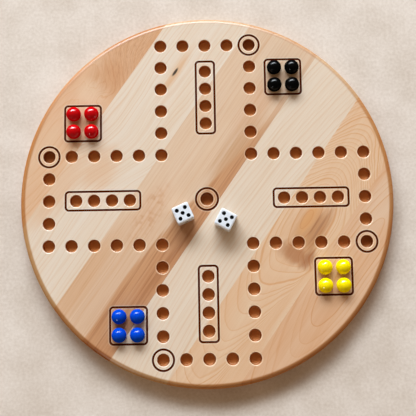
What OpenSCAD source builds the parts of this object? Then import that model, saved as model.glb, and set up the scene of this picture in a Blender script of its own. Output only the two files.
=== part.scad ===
// A round wooden marble race board: six edge-glued staves, sixteen marbles and two dice.
// The origin is the middle of the underside, +Z is up, and every size is in millimetres.

/* [Board] */
// Diameter of the round board
board_d = 406; // [403:1:470]
// Thickness of the board
board_t = 19; // [12:0.5:28]
// Radius of the rounded upper edge
top_edge_r = 5.5; // [1:0.5:6.5]
// Radius of the rounded lower edge
bottom_edge_r = 2; // [0.5:0.5:5]

/* [Staves] */
// Direction of the staves' length, anticlockwise from the X axis
stave_angle = 55; // [0:1:90]
// Distance of the middle glue line from the board's centre
middle_joint_offset = 11.2; // [-20:0.1:20]
// Width of the second stave
stave_2_w = 78.3; // [65:0.1:90]
// Width of the third stave
stave_3_w = 80.5; // [65:0.1:90]
// Width of the fourth stave
stave_4_w = 64; // [54:0.1:80]
// Width of the fifth stave
stave_5_w = 64.5; // [54:0.1:80]

/* [Holes] */
// Diameter of a marble hole
hole_d = 13.3; // [11:0.1:14.5]
// Depth of a marble hole
hole_depth = 7.5; // [6:0.5:9]
// Width of the eased edge round a hole's mouth
mouth_ease = 0.8; // [0.3:0.1:1]
// Diameter of the hole in the middle of the board
centre_hole_d = 14.2; // [11:0.1:15.5]

/* [Track and rows] */
// Distance between neighbouring holes of the track
track_pitch = 24.5; // [22:0.5:25]
// Distance between neighbouring holes of a home row
home_pitch = 19.45; // [17:0.05:21]
// Distance from an arm's end row to the middle of its home row
home_from_end = 58.6; // [52:0.1:61]
// Distance between neighbouring holes of a base
base_pitch = 19.45; // [17:0.05:21]
// Distance from a start hole to the middle of its base, sideways and inwards
base_from_start = 36.8; // [34:0.1:39]

/* [Engraved lines] */
// Width of an engraved line
line_w = 1.8; // [0.8:0.1:2.2]
// Depth of an engraved line
line_depth = 0.5; // [0.3:0.1:1]
// Corner radius of the engraved frames
frame_corner_r = 3.6; // [1.5:0.1:5]
// Room from a home row's holes to its frame, at the sides
home_side_room = 3.5; // [2:0.1:4]
// Room from a home row's holes to its frame, at the ends
home_end_room = 4.7; // [2:0.1:5]
// Room from a base's holes to its frame
base_room = 3.3; // [2:0.1:4.5]
// Room from a start hole to its ring
start_ring_room = 4.55; // [2:0.05:4.55]
// Room from the centre hole to its ring
centre_ring_room = 4.85; // [2:0.05:6]

/* [Marbles] */
// Diameter of a marble
marble_d = 15.9; // [14.5:0.1:17]
// Room between a marble and the edge that it sits on
marble_gap = 0.15; // [0.05:0.05:0.3]

/* [Dice] */
// Edge length of a die
die_size = 19; // [18.5:0.5:22]
// Radius of a die's rounded edges
die_edge_r = 1.7; // [0.5:0.1:2]
// Diameter of a pip
pip_d = 4.1; // [2.5:0.1:4.3]
// Depth of a pip's hollow
pip_depth = 0.8; // [0.5:0.1:1.2]
// Distance of the outer pips from the edges of their face
pip_inset = 4.8; // [4.4:0.1:5]
// Depth of the paint's surface below the die's face
paint_recess = 0.25; // [0.1:0.05:0.4]
// Room round the paint in its hollow
paint_gap = 0.05; // [0.02:0.01:0.1]
// Place of the left die along X
left_die_x = -25.9; // [-30:0.1:-24]
// Place of the left die along Y
left_die_y = -16.9; // [-23:0.1:-13]
// Turn of the left die
left_die_turn = 24; // [0:1:90]
// Place of the right die along X
right_die_x = 19.7; // [18.5:0.1:28]
// Place of the right die along Y
right_die_y = -24.3; // [-28:0.1:-22]
// Turn of the right die
right_die_turn = -28.5; // [-90:0.5:0]

/* [Hidden] */
$fn = 64;
// What a cut reaches past the face that it opens
over = 1;
// Four players sit round the board: the seats follow each other clockwise, a quarter turn apart
SEATS = ["black", "yellow", "blue", "red"];
SEAT_COLOURS = ["#16171a", "#e3c014", "#1046b8", "#b01216"];
SEAT_TURN = -360 / len(SEATS);
// An arm's two columns lie 2 pitches from its middle, and its end row 7 pitches from the centre
ARM_HALF = 2;
ARM_REACH = 7;
HOME_HOLES = 4;
BASE_SIDES = [-0.5, 0.5];
STAVE_COLOURS = ["#c99f76", "#dcbd96", "#c0935f", "#e0c5a0", "#cba473", "#d3a981"];
PIPS = ["left_die_pips", "right_die_pips"];
DICE = ["left_die", "right_die"];
STAVES = [for (i = [1 : 6]) str("stave_", i)];
MARBLES = [for (colour = SEATS, i = [1 : len(BASE_SIDES) ^ 2]) str(colour, "_marble_", i)];

// Glue lines, as distances from the centre square to the staves' length
joint_3 = middle_joint_offset;
joint_2 = joint_3 - stave_3_w;
joint_1 = joint_2 - stave_2_w;
joint_4 = joint_3 + stave_4_w;
joint_5 = joint_4 + stave_5_w;
past_edge = board_d / 2 + over;
EDGES = [-past_edge, joint_1, joint_2, joint_3, joint_4, joint_5, past_edge];

// Places of the holes for the first seat, whose arm points along +Y
seat_track = track_pitch * [
    for (y = [ARM_REACH : -1 : ARM_HALF + 1]) [-ARM_HALF, y],
    for (x = [1 - ARM_HALF : ARM_HALF - 1]) [x, ARM_REACH],
    for (y = [ARM_REACH : -1 : ARM_HALF]) [ARM_HALF, y]
];
seat_start = track_pitch * [ARM_HALF, ARM_REACH];
home_middle = [0, track_pitch * ARM_REACH - home_from_end];
seat_home = [for (i = [0 : HOME_HOLES - 1]) home_middle + [0, home_pitch * (i - (HOME_HOLES - 1) / 2)]];
base_middle = seat_start + base_from_start * [1, -1];
seat_base = [for (y = BASE_SIDES, x = BASE_SIDES) base_middle + base_pitch * [x, -y]];
seat_holes = concat(seat_track, seat_home, seat_base);

// Engraved frames and rings, on the middle of their lines
home_frame = [hole_d + 2 * home_side_room, home_pitch * (HOME_HOLES - 1) + hole_d + 2 * home_end_room];
base_frame = (base_pitch + hole_d + 2 * base_room) * [1, 1];
start_ring_d = hole_d + 2 * start_ring_room;
centre_ring_d = centre_hole_d + 2 * centre_ring_room;

// A marble sits on the lower edge of its hole's eased mouth
seat_r = marble_d / 2 + marble_gap;
marble_z = board_t - mouth_ease + sqrt(seat_r ^ 2 - (hole_d / 2) ^ 2);

// The faces of a die as [pips, turn that brings the face up]: opposite faces add up to 7
DIE_FACES = [
    [5, [0, 0, 0]], [2, [180, 0, 0]], [1, [90, 0, 0]],
    [6, [-90, 0, 0]], [3, [0, 90, 0]], [4, [0, -90, 0]]
];
pip_reach = die_size / 2 - pip_inset;
die_corner_r = (die_size / 2 - die_edge_r) * sqrt(3) + die_edge_r;

function turned(p, seat) = let (a = SEAT_TURN * seat)
    [p.x * cos(a) - p.y * sin(a), p.x * sin(a) + p.y * cos(a)];
function across(p) = p.x * sin(stave_angle) - p.y * cos(stave_angle);
// True where something of a given radius at p reaches the stave between glue lines i and i + 1
function meets(p, radius, i) = across(p) > EDGES[i] - radius && across(p) < EDGES[i + 1] + radius;
// Pips of a face in half steps: corners in pairs, the middle of each side for 6, and the centre if odd
function pip_places(count) = [
    if (count % 2 == 1) [0, 0],
    if (count > 1) each [[-1, -1], [1, 1]],
    if (count > 3) each [[-1, 1], [1, -1]],
    if (count > 5) each [[-1, 0], [1, 0]]
];

module rounded_rectangle(size, r) {
    square([size.x, size.y - 2 * r], center = true);
    square([size.x - 2 * r, size.y], center = true);
    for (x = [-1, 1], y = [-1, 1])
        translate([x * (size.x / 2 - r), y * (size.y / 2 - r)])
            circle(r);
}

module edge_corner(r) {
    difference() {
        square(r + over);
        circle(r);
    }
}

module board_blank() {
    rotate_extrude()
        difference() {
            square([board_d / 2, board_t]);
            translate([board_d / 2 - top_edge_r, board_t - top_edge_r])
                edge_corner(top_edge_r);
            translate([board_d / 2 - bottom_edge_r, bottom_edge_r])
                mirror([0, 1])
                    edge_corner(bottom_edge_r);
        }
}

// The band of the board between two glue lines
module band(i) {
    rotate([0, 0, stave_angle - 90])
        translate([EDGES[i], -past_edge, -over])
            cube([EDGES[i + 1] - EDGES[i], 2 * past_edge, board_t + 2 * over]);
}

module hole_cut(d) {
    translate([0, 0, board_t])
        rotate_extrude()
            polygon([
                [0, -hole_depth], [d / 2, -hole_depth], [d / 2, -mouth_ease],
                [d / 2 + mouth_ease, 0], [d / 2 + mouth_ease, over], [0, over]
            ]);
}

module line_cut() {
    translate([0, 0, board_t - line_depth])
        linear_extrude(line_depth + over)
            children();
}

module frame_line(size) {
    difference() {
        rounded_rectangle(size + line_w * [1, 1], frame_corner_r + line_w / 2);
        rounded_rectangle(size - line_w * [1, 1], frame_corner_r - line_w / 2);
    }
}

module ring_line(d) {
    difference() {
        circle(d = d + line_w);
        circle(d = d - line_w);
    }
}

module stave(i) {
    hole_reach = hole_d / 2 + mouth_ease;
    color(STAVE_COLOURS[i])
        difference() {
            intersection() {
                board_blank();
                band(i);
            }
            for (seat = [0 : len(SEATS) - 1], p = seat_holes)
                if (meets(turned(p, seat), hole_reach, i))
                    translate(turned(p, seat))
                        hole_cut(hole_d);
            if (meets([0, 0], centre_ring_d / 2 + line_w, i)) {
                hole_cut(centre_hole_d);
                line_cut() ring_line(centre_ring_d);
            }
            for (seat = [0 : len(SEATS) - 1]) {
                if (meets(turned(seat_start, seat), start_ring_d / 2 + line_w, i))
                    translate(turned(seat_start, seat))
                        line_cut() ring_line(start_ring_d);
                if (meets(turned(home_middle, seat), norm(home_frame) / 2 + line_w, i))
                    translate(turned(home_middle, seat))
                        rotate(SEAT_TURN * seat)
                            line_cut() frame_line(home_frame);
                if (meets(turned(base_middle, seat), norm(base_frame) / 2 + line_w, i))
                    translate(turned(base_middle, seat))
                        rotate(SEAT_TURN * seat)
                            line_cut() frame_line(base_frame);
            }
        }
}

module marble(seat, i) {
    p = turned(seat_base[i], seat);
    color(SEAT_COLOURS[seat])
        translate([p.x, p.y, marble_z])
            sphere(d = marble_d);
}

module on_board(x, y, turn) {
    translate([x, y, board_t + die_size / 2])
        rotate(turn)
            children();
}

// Cylinders at the pips of every face, from one depth below the face up to another
module pip_discs(d, bottom, top) {
    for (face = DIE_FACES)
        rotate(face[1])
            for (p = pip_places(face[0]))
                translate([p.x * pip_reach, p.y * pip_reach, die_size / 2 - bottom])
                    cylinder(d = d, h = bottom - top);
}

module rounded_bar() {
    linear_extrude(die_size, center = true)
        rounded_rectangle(die_size * [1, 1], die_edge_r);
}

module die() {
    color("#f2f0ea")
        difference() {
            intersection() {
                rounded_bar();
                rotate([90, 0, 0]) rounded_bar();
                rotate([0, 90, 0]) rounded_bar();
                sphere(die_corner_r);
            }
            pip_discs(pip_d, pip_depth, -over);
        }
}

module die_pips() {
    color("#141414")
        pip_discs(pip_d - 2 * paint_gap, pip_depth, paint_recess);
}

module left_die() { on_board(left_die_x, left_die_y, left_die_turn) die(); }
module right_die() { on_board(right_die_x, right_die_y, right_die_turn) die(); }
module left_die_pips() { on_board(left_die_x, left_die_y, left_die_turn) die_pips(); }
module right_die_pips() { on_board(right_die_x, right_die_y, right_die_turn) die_pips(); }

for (i = [0 : len(STAVES) - 1])
    stave(i);
for (i = [0 : len(MARBLES) - 1])
    marble(floor(i / len(seat_base)), i % len(seat_base));
left_die();
right_die();
left_die_pips();
right_die_pips();
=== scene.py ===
# %% [markdown]
# # A marble race board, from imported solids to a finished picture
#
# The object is a round maple board for a marble race game: six staves glued edge to edge, turned round,
# drilled with marble holes and engraved with burnt lines, with its loose marbles and two dice.
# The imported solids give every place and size. This lesson adds the drilled, eased and burnt wood,
# the glass and the dice, and it moves nothing that the solids hold.

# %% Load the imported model
import math

import bpy
from mathutils import Matrix, Vector


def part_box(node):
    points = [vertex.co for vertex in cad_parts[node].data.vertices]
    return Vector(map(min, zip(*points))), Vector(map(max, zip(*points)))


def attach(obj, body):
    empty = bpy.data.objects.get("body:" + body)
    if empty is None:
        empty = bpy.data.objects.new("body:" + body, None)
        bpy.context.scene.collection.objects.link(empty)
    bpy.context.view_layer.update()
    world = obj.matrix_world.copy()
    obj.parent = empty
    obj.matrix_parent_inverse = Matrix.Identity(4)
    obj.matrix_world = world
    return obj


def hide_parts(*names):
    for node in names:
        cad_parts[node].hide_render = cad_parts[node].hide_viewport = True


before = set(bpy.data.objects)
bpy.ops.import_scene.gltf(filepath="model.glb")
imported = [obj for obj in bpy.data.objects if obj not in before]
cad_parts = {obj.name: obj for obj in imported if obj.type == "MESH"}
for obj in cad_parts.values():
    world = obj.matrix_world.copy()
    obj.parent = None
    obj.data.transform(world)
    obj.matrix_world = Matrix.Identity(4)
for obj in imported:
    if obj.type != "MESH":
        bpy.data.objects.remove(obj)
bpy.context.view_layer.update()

MM = 0.001

# %% [markdown]
# ## Camera
#
# The picture is taken from nearly straight above, leaning a few degrees to the near side and rolled by one.
# A camera could be turned by eye until the holes line up. Here its two leans, roll and distance were fitted
# to the grid of holes instead, so the board's far and near edges shrink and grow as in the picture.

# %% Camera over the board
board_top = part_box("stave_3")[1].z
lean_near = math.radians(6.77)
lean_right = math.radians(0.25)
roll = math.radians(-0.97)
camera_reach = 866.7 * MM
aim = Vector((0.92 * MM, -9.87 * MM, board_top))
picture_px = 416
focal_px = 800
sensor_width = 36

back = Vector((math.tan(lean_right), -math.tan(lean_near), 1)).normalized()
level_right = Vector((0, 1, 0)).cross(back).normalized()
level_up = back.cross(level_right)
right = math.cos(roll) * level_right + math.sin(roll) * level_up
up = math.cos(roll) * level_up - math.sin(roll) * level_right
stand = aim + back * camera_reach

lens = bpy.data.cameras.new("camera")
lens.sensor_width = sensor_width
lens.lens = focal_px * sensor_width / picture_px
camera = bpy.data.objects.new("camera", lens)
camera.matrix_world = Matrix((right, up, back)).transposed().to_4x4()
camera.location = stand
scene = bpy.context.scene
scene.collection.objects.link(camera)
scene.camera = camera
scene.view_settings.view_transform = "Standard"
print("camera stands", round(stand.z / MM), "mm up, lens", round(lens.lens, 1), "mm")

# %% [markdown]
# ## Node trees written as expressions
#
# Wood figure is a lot of arithmetic: distances, ring counts and soft edges. Wiring it node by node hides
# the sums. One small class wraps an output socket, so that `1 - mask` or `u * 0.3 + v` adds its Math nodes,
# and its add() makes any other node. Shaders and Geometry Nodes both take Math nodes, so both use it.

# %% A socket that can be added and multiplied
class Wire:
    """An output socket of a node tree. Sums on it add Math nodes, and add() adds any other node."""

    def __init__(self, tree, socket):
        self.tree = tree
        self.socket = socket

    @staticmethod
    def plug(node, sockets):
        """Links or sets a node's inputs, which are given by name or by number."""
        for key, value in sockets.items():
            enabled = [s for s in node.inputs if s.enabled and s.name == key]
            target = node.inputs[key] if isinstance(key, int) else enabled[0]
            for item in value if isinstance(value, list) else [value]:
                if isinstance(item, Wire):
                    item.tree.links.new(item.socket, target)
                else:
                    target.default_value = item

    @staticmethod
    def add(tree, kind, settings=None, sockets=None):
        """A new node's first output. The stops of a colour ramp are places with their colours."""
        node = tree.nodes.new(kind)
        for name, value in (settings or {}).items():
            if name == "stops":
                ramp = node.color_ramp.elements
                while len(ramp) < len(value):
                    ramp.new(1)
                for element, (place, colour) in zip(ramp, value):
                    element.position = place
                    element.color = (*colour, 1)
            else:
                setattr(node, name, value)
        Wire.plug(node, sockets or {})
        return Wire(tree, next(s for s in node.outputs if s.enabled))

    def __getitem__(self, output):
        return Wire(self.tree, self.socket.node.outputs[output])

    def math(self, operation, *others):
        values = dict(enumerate((self, *others)))
        return Wire.add(self.tree, "ShaderNodeMath", {"operation": operation}, values)

    def __add__(self, other):
        return self.math("ADD", other)

    def __sub__(self, other):
        return self.math("SUBTRACT", other)

    def __mul__(self, other):
        return self.math("MULTIPLY", other)

    def __truediv__(self, other):
        return self.math("DIVIDE", other)

    def __pow__(self, other):
        return self.math("POWER", other)

    def __gt__(self, other):
        return self.math("GREATER_THAN", other)

    def __lt__(self, other):
        return self.math("LESS_THAN", other)

    def __abs__(self):
        return self.math("ABSOLUTE")

    def __neg__(self):
        return self * -1

    def __rsub__(self, other):
        return -self + other

    __radd__ = __add__
    __rmul__ = __mul__


def vector(tree, x, y, z):
    return Wire.add(tree, "ShaderNodeCombineXYZ", {}, {"X": x, "Y": y, "Z": z})


def axes(value):
    """The three parts of a vector, by the names X, Y and Z."""
    return Wire.add(value.tree, "ShaderNodeSeparateXYZ", {}, {"Vector": value})


def longest(x, y):
    return x.math("MAXIMUM", y)


def nearest(x, y):
    return x.math("MINIMUM", y)


def reach(x, y):
    """The length of the slanted side over x and y."""
    return (x * x + y * y).math("SQRT")


print("sums that Wire knows:", "+ - * / ** > < abs")

# %% [markdown]
# ## Floor and light
#
# The board lies on a pale, plain surface under soft window-like light from its far side, so its shadow falls
# towards the viewer. A single sun would cut hard shadows into the holes. A wide, low lamp stands in for
# a curtain and a brighter one in front of it for the pane, and a small weak one gives the glass its second
# glint. The sky fills the shade with warm light from the sides and is dark overhead, so that the floors of
# the holes stay dark. A look straight at it shows a plain pale backdrop instead, and a mirror shows that
# backdrop dimmed, so that the glass stays deep.

# %% Floor
floor_reach = 9.0
floor_tone = (0.77, 0.705, 0.645)
floor_shade = (0.59, 0.51, 0.435)


def new_finish(name):
    """A new material, its shader and the place on the piece in metres."""
    material = bpy.data.materials.new(name)
    material.use_nodes = True
    place = Wire.add(material.node_tree, "ShaderNodeTexCoord")["Object"]
    return material, material.node_tree.nodes["Principled BSDF"], place


def noise(place, scale, detail, distortion=0.0):
    """Noise from 0 to 1. A higher scale makes it finer."""
    return Wire.add(place.tree, "ShaderNodeTexNoise", {}, {
        "Vector": place, "Scale": scale, "Detail": detail, "Distortion": distortion,
    })


def floor_finish():
    """Matt, with soft patches and a fine speckle."""
    material, shader, place = new_finish("floor_finish")
    patches, speckle = noise(place, 24.0, 6.0), noise(place, 320.0, 2.0)
    tint = Wire.add(place.tree, "ShaderNodeValToRGB", {
        "stops": [(0.32, floor_shade), (0.68, floor_tone)],
    }, {"Fac": patches * 0.57 + speckle * 0.43})
    Wire.plug(shader, {"Base Color": tint, "Roughness": 0.8})
    return material


corners = [(x * floor_reach, y * floor_reach, 0) for x, y in ((-1, -1), (1, -1), (1, 1), (-1, 1))]
floor_mesh = bpy.data.meshes.new("floor")
floor_mesh.from_pydata(corners, [], [(0, 1, 2, 3)])
floor_mesh.materials.append(floor_finish())
floor = bpy.data.objects.new("floor", floor_mesh)
scene.collection.objects.link(floor)
print("floor:", 2 * floor_reach, "m square, under the board at height 0")

# %% Lamps
window_place = Vector((-0.8, 4.98, 3.2))
pane_share = 0.96
daylight = (0.89, 0.97, 1.035)


def lamp(name, place, width, height, watts, tint):
    """A flat soft lamp that faces the middle of the board."""
    data = bpy.data.lights.new(name, "AREA")
    data.color = tint
    data.shape = "RECTANGLE"
    data.size = width
    data.size_y = height
    data.energy = watts
    thing = bpy.data.objects.new(name, data)
    thing.location = place
    thing.rotation_euler = (-Vector(place)).to_track_quat("-Z", "Y").to_euler()
    scene.collection.objects.link(thing)


lamp("curtain", window_place, 9.0, 3.2, 310, daylight)
lamp("pane", window_place * pane_share, 4.2, 1.4, 335, daylight)
lamp("glint", (-1.1, -1.7, 1.1), 0.2, 0.2, 3, (1, 1, 1))

# %% Sky
backdrop = (0.70, 0.635, 0.57)
mirror_dimmed = 0.95


def layer(share, under, over, mode="MIX"):
    """One colour laid over another. A colour is a Wire or three numbers."""
    sides = [c if isinstance(c, Wire) else (*c, 1) for c in (under, over)]
    return Wire.add(share.tree, "ShaderNodeMix", {"data_type": "RGBA", "blend_type": mode}, {
        "Factor": share, "A": sides[0], "B": sides[1],
    })


sky = bpy.data.worlds.new("sky")
sky.use_nodes = True
sky_height = axes(Wire.add(sky.node_tree, "ShaderNodeTexCoord")["Generated"])["Z"]
sky_tint = Wire.add(sky.node_tree, "ShaderNodeValToRGB", {
    "stops": [
        (0.0, (0.36, 0.245, 0.14)), (0.2, (0.44, 0.295, 0.17)),
        (0.5, (0.27, 0.172, 0.092)), (1.0, (0.09, 0.052, 0.024)),
    ],
}, {"Fac": sky_height * sky_height})
look = Wire.add(sky.node_tree, "ShaderNodeLightPath")
mirrored = look["Is Glossy Ray"]
seen = longest(look["Is Camera Ray"], longest(mirrored, look["Is Transmission Ray"]))
Wire.plug(sky.node_tree.nodes["Background"], {
    "Color": layer(seen, sky_tint, backdrop), "Strength": 1 - mirrored * mirror_dimmed,
})
scene.world = sky
print("the sky tree has", len(sky.node_tree.nodes), "nodes")

# %% [markdown]
# ## Where everything is cut
#
# The track is the same for each of the four players, turned by a quarter: fourteen holes along one arm,
# a row of four home holes, a base of four and one start hole with a ring. The sizes repeat the solids' own,
# in millimetres. Each place could be listed by hand, but a plan for one arm that is turned four times keeps
# them even. The marbles already lie in their bases, so a base's middle is read from the four marbles in it.

# %% The drilling plan
seats = ["black", "yellow", "blue", "red"]
track_pitch = 24.5
home_pitch = 19.45
home_middle = 112.9
hole_r = 6.65
centre_hole_r = 7.1
hole_depth = 7.5
line_w = 1.8
line_depth = 0.5
top_edge_r = 5.5
bottom_edge_r = 2.0
frame_corner_r = 3.6
home_frame = (20.3, 81.05)
base_frame = (39.35, 39.35)
start_ring_r = 11.2
centre_ring_r = 11.95


def marble_name(seat, number):
    return f"{seats[seat]}_marble_{number}"


def middle_of(node):
    low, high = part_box(node)
    return (low + high) / 2 / MM


def turned(x, y, seat):
    """A place on the black player's arm, carried clockwise to another player's."""
    return [(x, y), (y, -x), (-x, -y), (-y, x)][seat]


arm = [(-2, row) for row in range(7, 2, -1)] + [(-1, 7), (0, 7), (1, 7)]
arm += [(2, row) for row in range(7, 1, -1)]
arm_holes = [(track_pitch * column, track_pitch * row) for column, row in arm]
home_holes = [(0, home_middle + home_pitch * (step - 1.5)) for step in range(4)]
base_holes = [tuple(middle_of(marble_name(0, number)))[:2] for number in range(1, 5)]
base_middle = [sum(hole[axis] for hole in base_holes) / 4 for axis in (0, 1)]
base_pitch = 2 * abs(base_holes[0][0] - base_middle[0])
start_hole = (2 * track_pitch, 7 * track_pitch)

plan = [("centre hole", 0, (0, 0)), ("centre ring", 0, (0, 0))]
for seat in range(4):
    plan += [("hole", seat, turned(*hole, seat)) for hole in arm_holes + home_holes + base_holes]
    plan.append(("start ring", seat, turned(*start_hole, seat)))
    plan.append(("home frame", seat, turned(0, home_middle, seat)))
    plan.append(("base frame", seat, turned(*base_middle, seat)))
cuts = ["hole", "centre hole", "start ring", "centre ring", "home frame", "base frame"]
board_thick = board_top / MM
board_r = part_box("stave_6")[1].x / MM
print({cut: sum(1 for item in plan if item[0] == cut) for cut in cuts})

# %% [markdown]
# ## Trees that grow a piece
#
# Each repeated or ruled shape is a Geometry Nodes tree with named inputs. These helpers open a tree, close
# it with Realize Instances and Set Material, and run it once on loose points. The result is kept as a plain
# mesh, because instances and live modifiers would be lost when the model is saved for other programs.

# %% Helpers for the trees


def open_tree(name, inputs):
    """A new tree and a Wire for each named input."""
    tree = bpy.data.node_groups.new(name, "GeometryNodeTree")
    for label, kind in {"Geometry": "Geometry", **inputs}.items():
        tree.interface.new_socket(label, in_out="INPUT", socket_type=f"NodeSocket{kind}")
    tree.interface.new_socket("Geometry", in_out="OUTPUT", socket_type="NodeSocketGeometry")
    source = tree.nodes.new("NodeGroupInput")
    return tree, {s.name: Wire(tree, s) for s in source.outputs if s.name}


def close_tree(tree, geometry, finish):
    solid = Wire.add(tree, "GeometryNodeRealizeInstances", {}, {"Geometry": geometry})
    coated = Wire.add(tree, "GeometryNodeSetMaterial", {}, {"Geometry": solid, "Material": finish})
    tree.links.new(coated.socket, tree.nodes.new("NodeGroupOutput").inputs["Geometry"])


def grow(name, tree, start_points, inputs, tags=None):
    """Runs a tree on loose points and keeps what it makes as a plain mesh."""
    start = bpy.data.meshes.new(f"{name}_start")
    start.from_pydata(start_points, [], [])
    for label, values in (tags or {}).items():
        start.attributes.new(label, "FLOAT", "POINT").data.foreach_set("value", values)
    piece = bpy.data.objects.new(name, start)
    scene.collection.objects.link(piece)
    modifier = piece.modifiers.new("shape", "NODES")
    modifier.node_group = tree
    for socket in tree.interface.items_tree:
        if socket.in_out == "INPUT" and socket.name in inputs:
            modifier[socket.identifier] = inputs[socket.name]
    depsgraph = bpy.context.evaluated_depsgraph_get()
    mesh = bpy.data.meshes.new_from_object(piece.evaluated_get(depsgraph), depsgraph=depsgraph)
    piece.modifiers.remove(modifier)
    piece.data = mesh
    mesh.name = name
    bpy.data.meshes.remove(start)
    return piece


print("helpers for trees are ready")

# %% Helpers for the shapes
level_tilt = 0.9999


def lathe(tree, segments, rings, profile):
    """A closed round solid. profile takes a ring's number, from the bottom up, to a radius and a height."""
    rod = Wire.add(tree, "GeometryNodeMeshCylinder", {"fill_type": "NGON"}, {
        "Vertices": segments, "Side Segments": rings - 1, "Radius": 1.0, "Depth": 1.0,
    })
    part = axes(Wire.add(tree, "GeometryNodeInputPosition"))
    ring = ((part["Z"] + 0.5) * (rings - 1)).math("ROUND")
    radius, height = profile(ring)
    spot = vector(tree, part["X"] * radius, part["Y"] * radius, height)
    return Wire.add(tree, "GeometryNodeSetPosition", {}, {"Geometry": rod, "Position": spot})


def cut_away(tree, mesh, tools):
    """The mesh without what its tools take."""
    tools = Wire.add(tree, "GeometryNodeRealizeInstances", {}, {"Geometry": tools})
    return Wire.add(tree, "GeometryNodeMeshBoolean", {"operation": "DIFFERENCE", "solver": "MANIFOLD"}, {
        "Mesh 1": mesh, "Mesh 2": tools,
    })


def round_tool(half, deep):
    """The radius of a round tool that cuts to a half width at a depth."""
    return (half * half + deep * deep) / (deep * 2)


def crease(tree, mesh, degrees):
    """Smooth shading, with level faces kept flat and edges sharper than an angle kept crisp."""
    tilt = axes(Wire.add(tree, "GeometryNodeInputNormal"))["Z"]
    mesh = Wire.add(tree, "GeometryNodeSetShadeSmooth", {"domain": "FACE"}, {
        "Geometry": mesh, "Shade Smooth": abs(tilt) < level_tilt,
    })
    angle = Wire.add(tree, "GeometryNodeInputMeshEdgeAngle")
    return Wire.add(tree, "GeometryNodeSetShadeSmooth", {"domain": "EDGE"}, {
        "Geometry": mesh, "Selection": angle > math.radians(degrees), "Shade Smooth": False,
    })


print("helpers for shapes are ready")

# %% [markdown]
# ## A drilled stave
#
# On the bench the six staves are glued up first, then the round is cut, its edges are rounded over with
# a router, the holes are drilled with a round-nosed bit and the lines are burnt in with a cutter that rides
# a template. The tree goes the same way: a lathed blank, a slab that keeps one stave of it, a cutter for
# each hole and a round-section cutter that follows each frame or ring. Holes modelled one by one would each
# need an edit for a change of size. One tree makes all six staves.

# %% Cutters
arc_steps = 6
hole_segments = 40
blank_segments = 240
floor_round = 1.7
mouth_round = 1.0
cutter_lift = 0.06


def blank(tree, size):
    """The turned board. A narrow flat ring inside each rounded edge lets the faces shade flat."""
    flat_ring = 0.3 * MM
    last = 2 * arc_steps + 3

    def profile(ring):
        upper = ring > arc_steps + 1.5
        step = ring - 1 - upper * (arc_steps + 1)
        step = longest(nearest(step, arc_steps), 0)
        sweep = (step + upper * arc_steps) * (math.pi / 2 / arc_steps) - math.pi / 2
        edge = size["Bottom Edge"] + upper * (size["Top Edge"] - size["Bottom Edge"])
        inset = ((ring < 0.5) + (ring > last - 0.5)) * flat_ring
        radius = size["Board Radius"] - edge + edge * sweep.math("COSINE") - inset
        middle = size["Bottom Edge"] + upper * (size["Thickness"] - size["Top Edge"] - size["Bottom Edge"])
        return radius, middle + edge * sweep.math("SINE")

    return lathe(tree, blank_segments, last + 1, profile)


def hole_cutter(tree, radius, depth):
    """A round-nosed drill with a flare that eases the mouth, standing on the top face at height 0."""
    nose, flare, lift = floor_round * MM, mouth_round * MM, cutter_lift * MM

    def profile(ring):
        upper = ring > arc_steps + 0.5
        sweep = (ring - upper * (arc_steps + 1)) * (math.pi / 2 / arc_steps)
        sine, cosine = sweep.math("SINE"), sweep.math("COSINE")
        low_r, low_z = radius - nose + sine * nose, nose - depth - cosine * nose
        high_r, high_z = radius + flare - cosine * flare, sine * flare + (lift - flare)
        return low_r + upper * (high_r - low_r), low_z + upper * (high_z - low_z)

    return lathe(tree, hole_segments, 2 * arc_steps + 2, profile)


def line_cutter(tree, path, size):
    """A round bar along a path, as deep and as wide at the top face as the line."""
    bar_r = round_tool(size["Line Width"] * 0.5, size["Line Depth"])
    ring = Wire.add(tree, "GeometryNodeCurvePrimitiveCircle", {}, {"Resolution": 14, "Radius": bar_r})
    bar = Wire.add(tree, "GeometryNodeCurveToMesh", {}, {"Curve": path, "Profile Curve": ring})
    lift = vector(tree, 0.0, 0.0, bar_r - size["Line Depth"])
    return Wire.add(tree, "GeometryNodeTransform", {}, {"Geometry": bar, "Translation": lift})


def frame_path(tree, width, height, corner):
    box = Wire.add(tree, "GeometryNodeCurvePrimitiveQuadrilateral", {"mode": "RECTANGLE"}, {
        "Width": width, "Height": height,
    })
    return Wire.add(tree, "GeometryNodeFilletCurve", {"mode": "POLY"}, {
        "Curve": box, "Count": 7, "Radius": corner,
    })


def ring_path(tree, radius):
    return Wire.add(tree, "GeometryNodeCurvePrimitiveCircle", {}, {"Resolution": 72, "Radius": radius})


print("cutters: a drill of", 2 * hole_r, "mm and a line tool of", line_w, "mm")

# %% The stave tree: the blank and its slab
stave_sizes = [
    "Low Joint", "High Joint", "Grain Angle", "Board Radius", "Thickness", "Top Edge", "Bottom Edge",
    "Hole Radius", "Centre Hole Radius", "Hole Depth", "Line Width", "Line Depth", "Frame Corner",
    "Home Width", "Home Length", "Base Width", "Start Ring", "Centre Ring",
]
stave_tree, size = open_tree("drilled_stave", dict.fromkeys(stave_sizes, "Float") | {"Finish": "Material"})

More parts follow.
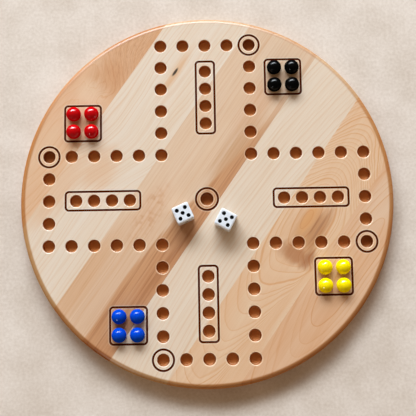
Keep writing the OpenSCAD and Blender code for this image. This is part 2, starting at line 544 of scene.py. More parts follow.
slab_width = size["High Joint"] - size["Low Joint"]
slab_length = size["Board Radius"] * 2.4
slab_height = size["Thickness"] * 4
slab = Wire.add(stave_tree, "GeometryNodeMeshCube", {}, {
    "Size": vector(stave_tree, slab_width, slab_length, slab_height),
})
slab_middle = vector(stave_tree, (size["High Joint"] + size["Low Joint"]) * 0.5, 0.0, 0.0)
slab = Wire.add(stave_tree, "GeometryNodeTransform", {}, {"Geometry": slab, "Translation": slab_middle})
slab_turn = vector(stave_tree, 0.0, 0.0, size["Grain Angle"] - math.pi / 2)
slab = Wire.add(stave_tree, "GeometryNodeTransform", {}, {"Geometry": slab, "Rotation": slab_turn})
stave = Wire.add(stave_tree, "GeometryNodeMeshBoolean", {"operation": "INTERSECT", "solver": "MANIFOLD"}, {
    "Mesh": [blank(stave_tree, size), slab],
})
print("the slab keeps one stave of the blank")

# %% The stave tree: every hole and line
crisp_edge = 24
home_path = frame_path(stave_tree, size["Home Width"], size["Home Length"], size["Frame Corner"])
base_path = frame_path(stave_tree, size["Base Width"], size["Base Width"], size["Frame Corner"])
tools = {
    "hole": hole_cutter(stave_tree, size["Hole Radius"], size["Hole Depth"]),
    "centre hole": hole_cutter(stave_tree, size["Centre Hole Radius"], size["Hole Depth"]),
    "start ring": line_cutter(stave_tree, ring_path(stave_tree, size["Start Ring"]), size),
    "centre ring": line_cutter(stave_tree, ring_path(stave_tree, size["Centre Ring"]), size),
    "home frame": line_cutter(stave_tree, home_path, size),
    "base frame": line_cutter(stave_tree, base_path, size),
}


def tag(tree, name):
    return Wire.add(tree, "GeometryNodeInputNamedAttribute", {"data_type": "FLOAT"}, {"Name": name})


passes = []
for number, cut in enumerate(cuts):
    mine = abs(tag(stave_tree, "cut") - number) < 0.5
    turn = vector(stave_tree, 0.0, 0.0, tag(stave_tree, "turn"))
    passes.append(Wire.add(stave_tree, "GeometryNodeInstanceOnPoints", {}, {
        "Points": size["Geometry"], "Selection": mine, "Instance": tools[cut], "Rotation": turn,
    }))
all_cuts = Wire.add(stave_tree, "GeometryNodeJoinGeometry", {}, {"Geometry": passes})
stave = cut_away(stave_tree, stave, all_cuts)
close_tree(stave_tree, crease(stave_tree, stave, crisp_edge), size["Finish"])
print("the stave tree has", len(stave_tree.nodes), "nodes")

# %% [markdown]
# ## Maple
#
# Each stave comes from another place in the log. Growth rings are nested tubes round the pith, and a board's
# face cuts them: far from the pith they show as straight lines, near it as tall arches. So each stave gets
# a pith line, a taper of the log and a ring width, and the arches come out by themselves. Stains, knots,
# flecks and the streaked heartwood are laid over that by soft shapes. A picture of wood would repeat and
# could not be resized; this can.

# %% Soft edges and noise along the grain
grain_angle = math.radians(55)


def soft(value, start, end):
    """0 at start and 1 at end, with a soft change between them, whichever of the two is higher."""
    return Wire.add(value.tree, "ShaderNodeMapRange", {"interpolation_type": "SMOOTHSTEP"}, {
        "Value": value, "From Min": start, "From Max": end,
    })


def cloud(wood, along, across, detail=2.0, shift=0.0):
    """Noise from 0 to 1 that is drawn out along the grain. along and across are its size in millimetres."""
    far, aside = wood["u"] / along + shift, wood["flow"] / across + wood["seed"]
    return noise(vector(far.tree, far, aside, wood["w"] / across), 1.0, detail)


def spread(wood, mark):
    """A soft patch round a place, from 1 in its middle to 0 past its reach, with a feathered edge."""
    place_u, place_v, long, wide = mark
    feather = (cloud(wood, long * 0.6 + 8, wide * 0.2 + 1.2, 3.0, place_u) - 0.5) * 0.8
    gap = reach((wood["u"] - place_u) / long, (wood["v"] - place_v) / wide) + feather
    return 1 - soft(gap, 0.3, 1.15)


print("the grain runs at", round(math.degrees(grain_angle)), "degrees")

# %% Growth rings
fan_curve = 1.6


def log_radius(wood, figure):
    """The distance from the pith in millimetres, and how fast it grows across the rings."""
    taper, pith, crown = figure["taper"], figure["pith"], figure["crown"]
    sway = (cloud(wood, 130, 34) - 0.5) * figure["sway"] + (cloud(wood, 42, 9) - 0.5) * figure["wobble"]
    side = wood["flow"] - pith + sway
    for mark, strength in figure["swirls"]:
        side = side + (cloud(wood, 24, 16, 1.0, 7.0) - 0.5) * spread(wood, mark) * strength
    rise = (wood["u"] - crown) * taper
    depth = board_thick - wood["w"] + figure["deep"]
    radius = reach(reach(side, rise), depth)
    growth = reach(side, rise * taper) / radius
    for start, end, squeeze in figure["crowds"]:
        closer = soft(wood["u"], start, end) * squeeze + 1
        radius, growth = radius * closer, growth * closer
    for fan_u, fan_v in figure["fans"]:
        share = nearest(longest(side / (fan_v - pith), 0.0), 0.97)
        closing = 1 - share ** fan_curve
        before = (fan_u - wood["u"]) / closing
        fan_radius = reach((before + (crown - fan_u)) * taper, depth)
        slant = before * share ** (fan_curve - 1) * (fan_curve / (fan_v - pith))
        fan_growth = reach(slant, 1.0) * taper / closing
        near = soft(wood["u"], fan_u + 6, fan_u - 14) * (share > 0)
        radius = radius + near * (fan_radius - radius)
        growth = growth + near * (fan_growth - growth)
    return radius, longest(growth, 0.05)


def growth_rings(wood, figure):
    """The late wood, from 0 to 1: a thin line of even width on each ring, with a broad shade before it."""
    radius, growth = log_radius(wood, figure)
    count = radius / figure["ring"] + wood["seed"]
    drift = Wire.add(count.tree, "ShaderNodeTexNoise", {"noise_dimensions": "1D"}, {
        "W": count * 0.45, "Scale": 1.0, "Detail": 1.0,
    })
    count = count + drift * 1.6
    weight = Wire.add(count.tree, "ShaderNodeTexWhiteNoise", {"noise_dimensions": "1D"}, {
        "W": count.math("ROUND"),
    })["Value"]
    phase = count.math("FRACT")
    gap = nearest(phase, 1 - phase) * figure["ring"] / growth
    crowded = soft(growth, figure["ring"] * 0.3, figure["ring"])
    line = (1 - soft(gap, 0.15, 1.0)) * (1 - crowded * 0.7)
    strength = weight * weight * (1 - figure["even"]) + figure["even"]
    return line * strength + soft(phase, 0.2, 0.9) * (1 - soft(phase, 0.94, 1.0)) * 0.15


print("growth rings are cut from nested tubes round the pith")

# %% Stains, heartwood, fibres and flecks
heart_edge = (0.60, 0.335, 0.18)
heart = (0.55, 0.287, 0.148)
heart_streak = (0.80, 0.70, 0.62)
curl_tint = (0.82, 0.62, 0.46)
late_wood = (0.88, 0.65, 0.44)
dark_streak = (0.88, 0.75, 0.60)
light_streak = (0.14, 0.13, 0.11)
dark_fibre = (0.80, 0.64, 0.50)
fleck_tint = (0.66, 0.44, 0.30)


def marked(wood, figure, tone):
    """Stains, heartwood and curls, laid over the plain tone of a stave."""
    for mark, colour, strength in figure["stains"]:
        tone = layer(spread(wood, mark) * strength, tone, colour)
    for edge, rise, start, end, last in figure["heart"]:
        feather = (cloud(wood, 80, 3.5, 3.0) - 0.5) * 7
        inner = wood["v"] - edge - soft(wood["u"], start, end) * rise + feather
        fade = 1 - soft(wood["u"] + feather * 6, start + 150, last) * 0.8
        tone = layer(soft(inner, -1.5, 2.5) * fade, tone, heart_edge)
        tone = layer(soft(inner, 3.0, 24.0) * fade, tone, heart)
        lines = soft(cloud(wood, 120, 2.6, 2.0, 11.0), 0.5, 0.62)
        tone = layer(soft(inner, 0.0, 5.0) * fade * lines * 0.9, tone, heart_streak, "MULTIPLY")
    for mark, strength in figure["curls"]:
        curl = soft(cloud(wood, 6, 7, 1.0, 3.0), 0.45, 0.7) * spread(wood, mark)
        tone = layer(curl * strength, tone, curl_tint, "MULTIPLY")
    return tone


def lined(wood, figure, tone, fibre):
    """Growth rings, streaks, fibres, flecks and knots, laid over the marked tone."""
    tone = layer(growth_rings(wood, figure) * figure["line"], tone, late_wood, "MULTIPLY")
    streak = cloud(wood, 110, 1.9)
    tone = layer(soft(streak, 0.5, 0.7) * figure["fibre"], tone, dark_streak, "MULTIPLY")
    tone = layer(soft(streak, 0.48, 0.3) * figure["fibre"], tone, light_streak, "SCREEN")
    tone = layer(soft(fibre, 0.42, 0.78) * figure["fibre"] * 0.7, tone, dark_fibre, "MULTIPLY")
    for mark, strength in figure["flecks"]:
        fleck = soft(cloud(wood, 6, 0.7, 2.0, 5.0), 0.44, 0.64) * spread(wood, mark)
        tone = layer(fleck * strength, tone, fleck_tint, "MULTIPLY")
    for knot_u, knot_v, long, wide in figure["knots"]:
        gap = reach((wood["u"] - knot_u) / long, (wood["v"] - knot_v) / wide) + (streak - 0.5) * 0.8
        tone = layer((1 - soft(gap, 0.5, 1.2)) * 0.95, tone, figure["knot"])
    return tone


print("heartwood runs from", heart_edge, "to", heart)

# %% [markdown]
# ## What the tools and the lacquer leave, with painted shade and highlight
#
# On the real board the cutters heat the wood. The lines are burnt nearly black. The holes are toasted and
# darkest at their walls, where painted shade is laid over the scorch, and most of those with a ring are
# darker still. The rounded rim is brown, partly its own colour and partly painted shade, and least dark at
# the far side, which faces the lamps. Sanding leaves the edges of the lines paler. The mouths of the holes
# get a pale ring too, partly sanding and partly a painted highlight. All this could be painted by hand. Here
# it comes from the distance to the nearest hole or line, worked out from the same plan as the cuts, so that
# it moves with them. A satin lacquer lies over all but the burnt lines, and its shine fades when the board
# is seen from low down, where it would mirror the window and hide the figure.

# %% How far it is to a line or a hole


def rounded_box(x, y, middle, frame_size):
    """The distance from a frame's line, for a frame with round corners."""
    half_x, half_y = frame_size[0] / 2 - frame_corner_r, frame_size[1] / 2 - frame_corner_r
    over_x, over_y = abs(x - middle[0]) - half_x, abs(y - middle[1]) - half_y
    outside = reach(longest(over_x, 0.0), longest(over_y, 0.0))
    inside = nearest(longest(over_x, over_y), 0.0)
    return abs(outside + inside - frame_corner_r)


def fold(x, y):
    """A place on any arm, carried to the black player's arm."""
    upright = abs(y) > abs(x)
    return upright * x * y.math("SIGN") - (1 - upright) * y * x.math("SIGN"), longest(abs(x), abs(y))


def distance_to_lines(x, y):
    """How far a place on the top is from the middle of the nearest burnt line."""
    fold_x, fold_y = fold(x, y)
    gap = rounded_box(fold_x, fold_y, (0, home_middle), home_frame)
    gap = nearest(gap, rounded_box(fold_x, fold_y, base_middle, base_frame))
    start_gap = reach(fold_x - start_hole[0], fold_y - start_hole[1])
    gap = nearest(gap, abs(start_gap - start_ring_r))
    return nearest(gap, abs(reach(x, y) - centre_ring_r))


def distance_to_holes(x, y):
    """How far a place on the top is from the wall of the nearest hole. Track holes lie on a square grid."""
    fold_x, fold_y = fold(x, y)
    column, row = (abs(fold_x) / track_pitch).math("ROUND"), (fold_y / track_pitch).math("ROUND")
    drilled = longest((abs(column - 2) < 0.5) * (row > 1.5), (column < 2.5) * (row > 6.5)) * (row < 7.5)
    gap = reach(abs(fold_x) - column * track_pitch, fold_y - row * track_pitch)
    gap = gap + (1 - drilled) * track_pitch
    step = (longest(nearest((fold_y - home_middle) / home_pitch, 1.4), -1.4) + 0.5).math("ROUND") - 0.5
    gap = nearest(gap, reach(fold_x, fold_y - home_middle - step * home_pitch))
    base_x, base_y = abs(fold_x - base_middle[0]), abs(fold_y - base_middle[1])
    gap = nearest(gap, reach(base_x - base_pitch / 2, base_y - base_pitch / 2))
    return nearest(gap - hole_r, reach(x, y) - centre_hole_r)


def distance_to_rings(x, y):
    """How far a place on the top is from the middle of the nearest hole with a ring round it."""
    fold_x, fold_y = fold(x, y)
    return nearest(reach(fold_x - start_hole[0], fold_y - start_hole[1]), reach(x, y))


print("burnt lines:", line_w, "mm wide")

# %% Rim, holes and lines
# The rim and wall colours hold painted shade as well as the wood's own brown and scorch.
rim_brown_and_shade = (0.63, 0.395, 0.18)
rim_feather = 1.1
rim_band = 9.0
# The mouth colour is partly sanding and partly a painted highlight.
mouth_sanding_and_highlight = (0.43, 0.30, 0.20)
toasted = (0.83, 0.42, 0.165)
toasted_shade = (0.75, 0.345, 0.115)
ringed_tint = (0.5, 0.32, 0.2)
wall_scorch_and_shade = (0.34, 0.15, 0.05)
sanded_tint = (0.42, 0.35, 0.26)
char = (0.075, 0.011, 0.002)


def worked(tone, shade, x, y, height):
    """The figured tone after the tools and painted shade and highlight, and how bored and burnt each place
    is.
    """
    out = reach(x, y)
    side = soft(out, board_r - top_edge_r - rim_feather, board_r - top_edge_r + rim_feather)
    # The rim is darkened towards brown: partly the wood's own brown edge, partly painted shade, weakest at
    # the far side where the rim faces the lamps.
    brown_and_shade_share = 0.95 - soft(y, 60.0, 150.0) * 0.25
    tone = layer(side * brown_and_shade_share, tone, rim_brown_and_shade, "MULTIPLY")
    inside = out < board_r - rim_band
    on_top = height > board_thick - line_depth * 2.2
    wall_gap = distance_to_holes(x, y)
    # The pale ring round each hole mouth is partly sanding and partly a painted highlight of the rounded
    # edge.
    eased = (1 - soft(wall_gap, mouth_round - 0.1, mouth_round + 0.5)) * on_top
    tone = layer(eased * 0.9, tone, mouth_sanding_and_highlight, "SCREEN")
    bored = soft(height, board_thick - 0.4, board_thick - 0.9) * (height > 3.0) * inside
    tone = layer(bored, tone, layer(shade, toasted, toasted_shade))
    ringed = 1 - soft(distance_to_rings(x, y), centre_hole_r - 0.2, centre_hole_r + 0.4)
    tone = layer(bored * ringed * soft(y, -150.0, -100.0) * 0.6, tone, ringed_tint, "MULTIPLY")
    # Painted shade: the walls and floor corners of each hole are darkened, on top of the scorch.
    tone = layer(bored * soft(wall_gap, -1.4, -0.4) * 0.7, tone, wall_scorch_and_shade, "MULTIPLY")
    gap = distance_to_lines(x, y)
    burnt = (1 - soft(gap, line_w * 0.55, line_w * 0.75)) * on_top
    sanded = (1 - soft(gap, line_w * 0.9, line_w * 1.5)) * on_top * inside
    tone = layer(sanded * 0.55, tone, sanded_tint, "SCREEN")
    return layer(burnt, tone, char), bored, burnt


print("holes are toasted from", toasted, "to", toasted_shade)

# %% The maple of one stave
seed_step = 17.3


def turned_away(tree):
    """0 where a surface faces the viewer, and 1 where it is seen edge-on."""
    return Wire.add(tree, "ShaderNodeLayerWeight", {}, {"Blend": 0.5})["Facing"]


def maple(name, number, figure):
    """Satin lacquered maple with the figure of one stave."""
    material, shader, place = new_finish(name)
    along = Wire.add(place.tree, "ShaderNodeMapping", {}, {
        "Vector": place, "Rotation": (0, 0, -grain_angle), "Scale": (1 / MM, 1 / MM, 1 / MM),
    })
    grain, spot = axes(along), axes(place)
    across = -grain["Y"]
    wood = {"u": grain["X"], "v": across, "w": grain["Z"], "flow": across, "seed": seed_step * number}
    for start, end, rise in figure["bends"]:
        wood["flow"] = wood["flow"] - soft(wood["u"], start, end) * rise

    shade = soft(cloud(wood, 150, 18, 3.0), 0.3, 0.75)
    fibre = cloud(wood, 45, 1.1, 3.0)
    tone = marked(wood, figure, layer(shade, figure["tone"], figure["shade"]))
    tone = lined(wood, figure, tone, fibre)
    tone, bored, burnt = worked(tone, shade, spot["X"] / MM, spot["Y"] / MM, grain["Z"])
    shine = 0.9 - soft(turned_away(place.tree), 0.12, 0.42) * 0.8
    bump = Wire.add(place.tree, "ShaderNodeBump", {}, {
        "Strength": 0.2, "Distance": 0.03 * MM, "Height": fibre,
    })
    Wire.plug(shader, {
        "Base Color": tone, "Roughness": fibre * 0.2 + 0.5, "Normal": bump,
        "Coat Weight": (1 - burnt) * (1 - bored * 0.6) * shine,
        "Coat Roughness": 0.28, "Coat IOR": 1.75, "Specular IOR Level": 0.0,
    })
    return material


print("maple is ready")

# %% [markdown]
# ## Six different staves
#
# The staves were picked for contrast: two nearly white sapwood boards, one with a dark band of heartwood,
# two with tall arches and one with fine flecks. Each figure below says where its pith lies and what marks it
# has. Places are millimetres along and across the grain, counted from the middle of the board. A mark is its
# place along and across, then its reach both ways, and a stain adds a colour and a strength. A bend shifts
# the grain and a crowd narrows the rings between two places along it, and a fan is where rings run together.
# The heartwood has its edge, how far that rises between two places, and where the dark tone has faded.
# One long function for each stave could draw the same, but then no figure could be read at a glance.

# %% Figures of the staves
pale = (0.78, 0.685, 0.58)
tan = (0.735, 0.507, 0.339)
brown = (0.60, 0.345, 0.19)
rose = (0.70, 0.43, 0.27)
straight = {"crown": 0, "taper": 0.0, "deep": 60, "sway": 9, "wobble": 1.0, "line": 0.5, "even": 0.15}
arched = {"deep": 6, "sway": 12, "wobble": 2.0, "line": 0.7, "even": 0.45}
unmarked = {"stains": [], "heart": [], "curls": [], "flecks": [], "knots": [], "knot": brown}
unmarked |= {"fans": [], "bends": [], "swirls": [], "crowds": [], "fibre": 0.2}
figures = {
    "stave_1": arched | {
        "tone": (0.745, 0.51, 0.335), "shade": (0.73, 0.465, 0.29), "line": 0.6,
        "pith": -178, "crown": -40, "taper": 0.25, "ring": 5.0, "bends": [(35, 95, -28)],
        "swirls": [((28, -170, 26, 26), 90)], "stains": [
            ((96, -160, 74, 38), (0.675, 0.41, 0.24), 1.0), ((52, -164, 24, 26), (0.61, 0.32, 0.16), 0.6),
            ((26, -172, 18, 18), (0.78, 0.58, 0.41), 0.7),
        ],
        "flecks": [((90, -166, 60, 32), 0.4)],
    },
    "stave_2": straight | {
        "tone": pale, "shade": (0.765, 0.64, 0.51), "pith": -350, "ring": 5.0, "bends": [(-75, 15, 26)],
        "line": 0.5, "even": 0.3, "sway": 26, "stains": [
            ((-78, -140, 66, 17), tan, 0.85), ((-38, -117, 34, 24), tan, 0.8),
            ((97, -108, 44, 5.5), (0.73, 0.50, 0.32), 0.95),
        ],
        "knots": [(97.5, -108.3, 6.0, 1.8)], "knot": (0.03, 0.022, 0.016),
    },
    "stave_3": straight | {
        "tone": (0.745, 0.575, 0.43), "shade": (0.72, 0.52, 0.36), "pith": 150, "taper": 0.06, "ring": 5.0,
        "fibre": 0.4, "stains": [
            ((-120, -34, 130, 36), (0.70, 0.487, 0.331), 0.9),
            ((-150, -62, 85, 15), (0.67, 0.42, 0.25), 0.8),
            ((-46, -44, 40, 16), rose, 0.25), ((118, -15, 50, 16), (0.69, 0.44, 0.28), 0.7),
            ((58, -3, 64, 18), (0.615, 0.39, 0.235), 0.9),
        ],
        "curls": [((-46, -43, 42, 15), 0.55)], "heart": [(-25.5, 31, -130, 130, 200)],
    },
    "stave_4": straight | {
        "tone": (0.775, 0.665, 0.545), "shade": (0.76, 0.63, 0.50),
        "pith": 360, "crown": -40, "taper": 0.5, "ring": 4.6, "even": 0.35, "line": 0.55,
    },
    "stave_5": arched | {
        "tone": (0.765, 0.555, 0.38), "shade": (0.745, 0.495, 0.31), "line": 0.95, "fibre": 0.15,
        "pith": 101, "crown": 42, "taper": 0.3, "ring": 4.4, "fans": [(5, 140)], "crowds": [(50, 150, 1.3)],
        "stains": [
            ((30, 108, 44, 22), (0.60, 0.33, 0.165), 0.9), ((38, 119, 38, 9), (0.50, 0.25, 0.115), 0.75),
            ((3, 113, 12, 26), (0.44, 0.195, 0.085), 0.8), ((47, 103, 27, 8), (0.71, 0.39, 0.175), 0.85),
            ((8, 127, 14, 6), (0.38, 0.165, 0.075), 0.7), ((42, 112.6, 21, 1.5), (0.42, 0.22, 0.12), 0.7),
            ((40, 118.4, 26, 1.6), (0.40, 0.20, 0.11), 0.7),
            ((-60, 140, 60, 6), (0.785, 0.63, 0.47), 0.6),
        ],
    },
    "stave_6": arched | {
        "tone": (0.735, 0.495, 0.33), "shade": (0.70, 0.425, 0.25), "line": 0.8,
        "pith": 170, "crown": 40, "taper": 0.2, "ring": 5.0, "stains": [
            ((113, 157, 6, 0.9), brown, 0.8), ((36, 142.3, 6, 0.9), brown, 0.7),
            ((108, 160, 60, 20), (0.75, 0.56, 0.41), 0.7),
        ],
    },
}
for name, figure in figures.items():
    print(name, "ring", figure["ring"], "mm, pith", figure["pith"], "mm across")

# %% Make the staves


def across_span(node):
    """The lowest and highest place of a node's mesh across the grain."""
    sine, cosine = math.sin(grain_angle), math.cos(grain_angle)
    places = [v.co.x * sine - v.co.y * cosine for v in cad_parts[node].data.vertices]
    return min(places), max(places)


plan_points = [(place[0] * MM, place[1] * MM, board_top) for _, _, place in plan]
plan_tags = {
    "cut": [cuts.index(cut) for cut, _, _ in plan],
    "turn": [-math.pi / 2 * seat for _, seat, _ in plan],
}
board_sizes = {
    "Grain Angle": grain_angle, "Board Radius": board_r * MM, "Thickness": board_top,
    "Top Edge": top_edge_r * MM, "Bottom Edge": bottom_edge_r * MM,
    "Hole Radius": hole_r * MM, "Centre Hole Radius": centre_hole_r * MM, "Hole Depth": hole_depth * MM,
    "Line Width": line_w * MM, "Line Depth": line_depth * MM, "Frame Corner": frame_corner_r * MM,
    "Home Width": home_frame[0] * MM, "Home Length": home_frame[1] * MM, "Base Width": base_frame[0] * MM,
    "Start Ring": start_ring_r * MM, "Centre Ring": centre_ring_r * MM,
}
for number, (node, figure) in enumerate(figures.items(), 1):
    low_joint, high_joint = across_span(node)
    own = {"Low Joint": low_joint, "High Joint": high_joint}
    own["Finish"] = maple(f"{node}_maple", number, unmarked | figure)
    piece = grow(f"{node}_drilled", stave_tree, plan_points, board_sizes | own, plan_tags)
    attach(piece, "board")
    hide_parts(node)
    print(node, "spans", round(low_joint / MM, 1), "to", round(high_joint / MM, 1), "mm,",
          len(piece.data.polygons), "faces")

# %% [markdown]
# ## Glass marbles
#
# Each marble is a ball of opaque coloured glass, pressed and rolled while hot, so it is never quite round
# and its colour runs in faint swirls. A plain sphere would look like a bead. The tree rolls an icosphere out
# of round by a few thousandths of a millimetre, with another seed for each marble.

# %% The marble tree
marble_tree, ball = open_tree("rolled_marble", {
    "Radius": "Float", "Place": "Vector", "Seed": "Float", "Waviness": "Float", "Finish": "Material",
})
sphere = Wire.add(marble_tree, "GeometryNodeMeshIcoSphere", {}, {
    "Radius": ball["Radius"], "Subdivisions": 5,
})
here = Wire.add(marble_tree, "GeometryNodeInputPosition")
dent = Wire.add(marble_tree, "ShaderNodeTexNoise", {"noise_dimensions": "4D"}, {
    "Vector": here, "W": ball["Seed"], "Scale": 60.0, "Detail": 1.0,
})
outward = Wire.add(marble_tree, "GeometryNodeInputNormal")
push = Wire.add(marble_tree, "ShaderNodeVectorMath", {"operation": "SCALE"}, {
    "Vector": outward, "Scale": (dent - 1.0) * ball["Waviness"],
})
sphere = Wire.add(marble_tree, "GeometryNodeSetPosition", {}, {"Geometry": sphere, "Offset": push})
sphere = Wire.add(marble_tree, "GeometryNodeTransform", {}, {
    "Geometry": sphere, "Translation": ball["Place"],
})
sphere = Wire.add(marble_tree, "GeometryNodeSetShadeSmooth", {"domain": "FACE"}, {
    "Geometry": sphere, "Shade Smooth": True,
})
close_tree(marble_tree, sphere, ball["Finish"])
print("the marble tree has", len(marble_tree.nodes), "nodes")

# %% Glass, and sixteen marbles
waviness = 0.003
glass_tones = {
    "black": ((0.002, 0.002, 0.002), (0.003, 0.003, 0.003), 0.35),
    "yellow": ((0.98, 0.82, 0.002), (0.97, 0.80, 0.002), 1.0),
    "blue": ((0.001, 0.06, 0.60), (0.001, 0.055, 0.57), 0.5),
    "red": ((0.56, 0.002, 0.005), (0.54, 0.002, 0.004), 1.0),
}


def glass(name, light, deep, shine):
    """Opaque glass. Its shine fades towards the edges, so they keep their colour beside the bright wood."""
    material, shader, place = new_finish(name)
    swirl = noise(place, 110.0, 2.0, 1.2)
    Wire.plug(shader, {
        "Base Color": layer(soft(swirl, 0.35, 0.7), light, deep), "Roughness": swirl * 0.1 + 0.3,
        "Coat Weight": (1 - soft(turned_away(place.tree), 0.2, 0.36)) * shine,
        "Coat Roughness": 0.04, "Coat IOR": 1.7, "Specular IOR Level": 0.0,
    })
    return material


for seat, colour in enumerate(seats):
    finish = glass(f"{colour}_glass", *glass_tones[colour])
    for number in range(1, 5):
        node = marble_name(seat, number)
        low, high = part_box(node)
        piece = grow(f"{node}_glass", marble_tree, [(0, 0, 0)], {
            "Radius": (high.z - low.z) / 2, "Place": (low + high) / 2, "Seed": 4.0 * seat + number,
            "Waviness": waviness * MM, "Finish": finish,
        })
        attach(piece, node)
        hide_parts(node)
    print("four", colour, "marbles of", round((high.z - low.z) / MM, 1), "mm")

# %% [markdown]
# ## Dice
#
# A die is a small acrylic cube with rolled edges, dimples cut by a ball-nosed tool and black paint dropped
# into them. A bevelled cube with black spots drawn on it would look flat from the side. The tree rounds
# a fine cube by a rule and cuts a dimple at each pip, and a second tree lays a dished drop of paint in each.
# The ball tool is turned a little, so that its edges never run along the cube's, which would leave slivers.

# %% Pips
die_turns = {"left_die": math.radians(24), "right_die": math.radians(-28.5)}
pip_r = 2.2
pip_depth = 0.85
pip_reach = 4.7
die_low, die_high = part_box("left_die")
die_half = (die_high.z - die_low.z) / 2
quarter = math.pi / 2
face_turns = {
    5: (0, 0), 2: (2 * quarter, 0), 1: (quarter, 0), 6: (-quarter, 0), 3: (0, quarter), 4: (0, -quarter),
}


def pip_places(count):
    """Pips of a face in steps: corners in pairs, the middles of two sides for 6, and the centre if odd."""
    places = [(0, 0)] if count % 2 else []
    places += [(-1, -1), (1, 1)] if count > 1 else []
    places += [(-1, 1), (1, -1)] if count > 3 else []
    return places + ([(-1, 0), (1, 0)] if count > 5 else [])


pips = []
for count, (turn_x, turn_y) in face_turns.items():
    tip = Matrix.Rotation(turn_y, 3, "Y") @ Matrix.Rotation(turn_x, 3, "X")
    for side_x, side_y in pip_places(count):
        pips.append(tip @ Vector((side_x * pip_reach * MM, side_y * pip_reach * MM, die_half)))
print("pips on a die:", len(pips))

# %% The die tree
die_inputs = {"Half Size": "Float", "Edge": "Float", "Pip Radius": "Float", "Pip Depth": "Float"}
die_inputs |= {"Place": "Vector", "Turn": "Float", "Finish": "Material"}
cube_grid = 21
nose_turn = (0.37, 0.21, 0.53)
crisp_dimple = 32


def settle(tree, mesh, die):
    """Turns a die's mesh and sets it in its place."""
    turn = vector(tree, 0.0, 0.0, die["Turn"])
    return Wire.add(tree, "GeometryNodeTransform", {}, {
        "Geometry": mesh, "Translation": die["Place"], "Rotation": turn,
    })


def rolled_cube(tree, die):
    """A cube whose vertices crowd towards its edges and are then pulled in to the edge's round."""
    full = vector(tree, *[die["Half Size"] * 2] * 3)
    cube = Wire.add(tree, "GeometryNodeMeshCube", {}, {
        "Size": full, "Vertices X": cube_grid, "Vertices Y": cube_grid, "Vertices Z": cube_grid,
    })
    place = axes(Wire.add(tree, "GeometryNodeInputPosition"))
    core = die["Half Size"] - die["Edge"]
    kept, over = [], []
    for axis in "XYZ":
        share = place[axis] / die["Half Size"]
        crowded = place[axis] * (1.5 - share * share * 0.5)
        inner = nearest(longest(crowded, -core), core)
        kept.append(inner)
        over.append(crowded - inner)
    length = reach(reach(over[0], over[1]), over[2])
    pull = die["Edge"] / length
    spot = vector(tree, *[inner + beyond * pull for inner, beyond in zip(kept, over)])
    return Wire.add(tree, "GeometryNodeSetPosition", {}, {"Geometry": cube, "Position": spot})


def outward_at_pips(tree, die):
    """The way out of the face that each pip lies on."""
    place = axes(Wire.add(tree, "GeometryNodeInputPosition"))
    ways = []
    for axis in "XYZ":
        on_face = abs(place[axis]) > die["Half Size"] * 0.99
        ways.append(on_face * place[axis].math("SIGN"))
    return vector(tree, *ways)


die_tree, die = open_tree("rolled_die", die_inputs)
ball_r = round_tool(die["Pip Radius"], die["Pip Depth"])
ball_lift = Wire.add(die_tree, "ShaderNodeVectorMath", {"operation": "SCALE"}, {
    "Vector": outward_at_pips(die_tree, die), "Scale": ball_r - die["Pip Depth"],
})
pip_spots = Wire.add(die_tree, "GeometryNodeSetPosition", {}, {
    "Geometry": die["Geometry"], "Offset": ball_lift,
})
nose = Wire.add(die_tree, "GeometryNodeMeshUVSphere", {}, {"Segments": 32, "Rings": 20, "Radius": ball_r})
noses = Wire.add(die_tree, "GeometryNodeInstanceOnPoints", {}, {
    "Points": pip_spots, "Instance": nose, "Rotation": nose_turn,
})
dimpled = cut_away(die_tree, rolled_cube(die_tree, die), noses)
close_tree(die_tree, settle(die_tree, crease(die_tree, dimpled, crisp_dimple), die), die["Finish"])
print("the die tree has", len(die_tree.nodes), "nodes")

# %% The paint tree
paint_steps = 7
paint_segments = 28
paint_middle = 0.03
paint_reach = 0.94
paint_rim = 0.03 * MM
paint_film = 0.06 * MM
crisp_paint = 40
paint_tree, drop = open_tree("pip_paint", die_inputs)


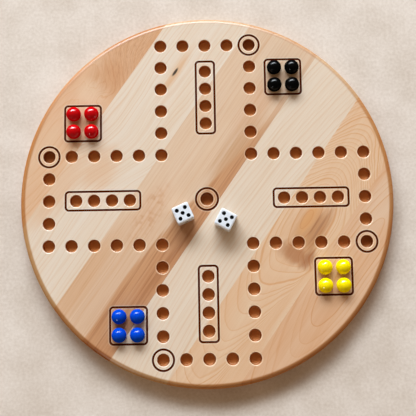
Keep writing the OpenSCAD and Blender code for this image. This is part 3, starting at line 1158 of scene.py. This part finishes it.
def drop_profile(ring):
    """A film that follows the dimple and stops just below the face."""
    upper = ring > paint_steps + 0.5
    share = nearest(ring, (2 * paint_steps + 1) - ring) / paint_steps
    out = share * paint_reach + paint_middle
    dimple = (out * out - 1) * drop["Pip Depth"]
    height = upper * nearest(dimple + paint_film, -paint_rim) + (1 - upper) * (dimple - paint_film)
    return out * drop["Pip Radius"], height


film = lathe(paint_tree, paint_segments, 2 * paint_steps + 2, drop_profile)
face_way = Wire.add(paint_tree, "FunctionNodeAlignRotationToVector", {"axis": "Z"}, {
    "Vector": outward_at_pips(paint_tree, drop),
})
films = Wire.add(paint_tree, "GeometryNodeInstanceOnPoints", {}, {
    "Points": drop["Geometry"], "Instance": film, "Rotation": face_way,
})
films = Wire.add(paint_tree, "GeometryNodeRealizeInstances", {}, {"Geometry": films})
close_tree(paint_tree, settle(paint_tree, crease(paint_tree, films, crisp_paint), drop), drop["Finish"])
print("the paint tree has", len(paint_tree.nodes), "nodes")

# %% Acrylic, paint and two dice
die_edge_r = 1.7


def acrylic():
    """Cool white, polished but handled, so its gloss is uneven."""
    material, shader, place = new_finish("die_white")
    mottle = noise(place, 420.0, 3.0)
    tone = layer(soft(mottle, 0.3, 0.7), (0.74, 0.81, 0.90), (0.78, 0.85, 0.94))
    Wire.plug(shader, {"Base Color": tone, "Roughness": mottle * 0.14 + 0.14})
    return material


def pip_paint():
    """Dull black with faint brush marks."""
    material, shader, place = new_finish("pip_paint")
    brush = noise(place, 900.0, 2.0)
    tone = layer(soft(brush, 0.3, 0.7), (0.002, 0.002, 0.002), (0.005, 0.005, 0.005))
    Wire.plug(shader, {"Base Color": tone, "Roughness": brush * 0.2 + 0.7, "Specular IOR Level": 0.0})
    return material


white, black = acrylic(), pip_paint()
for node, turn in die_turns.items():
    low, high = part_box(node)
    sizes = {
        "Half Size": die_half, "Edge": die_edge_r * MM, "Place": (low + high) / 2, "Turn": turn,
        "Pip Radius": pip_r * MM, "Pip Depth": pip_depth * MM,
    }
    body = grow(f"{node}_cube", die_tree, pips, sizes | {"Finish": white})
    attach(body, node)
    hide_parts(node)
    paint = grow(f"{node}_paint", paint_tree, pips, sizes | {"Finish": black})
    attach(paint, node)
    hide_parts(f"{node}_pips")
    print(node, len(body.data.polygons), "faces, paint", len(paint.data.polygons))
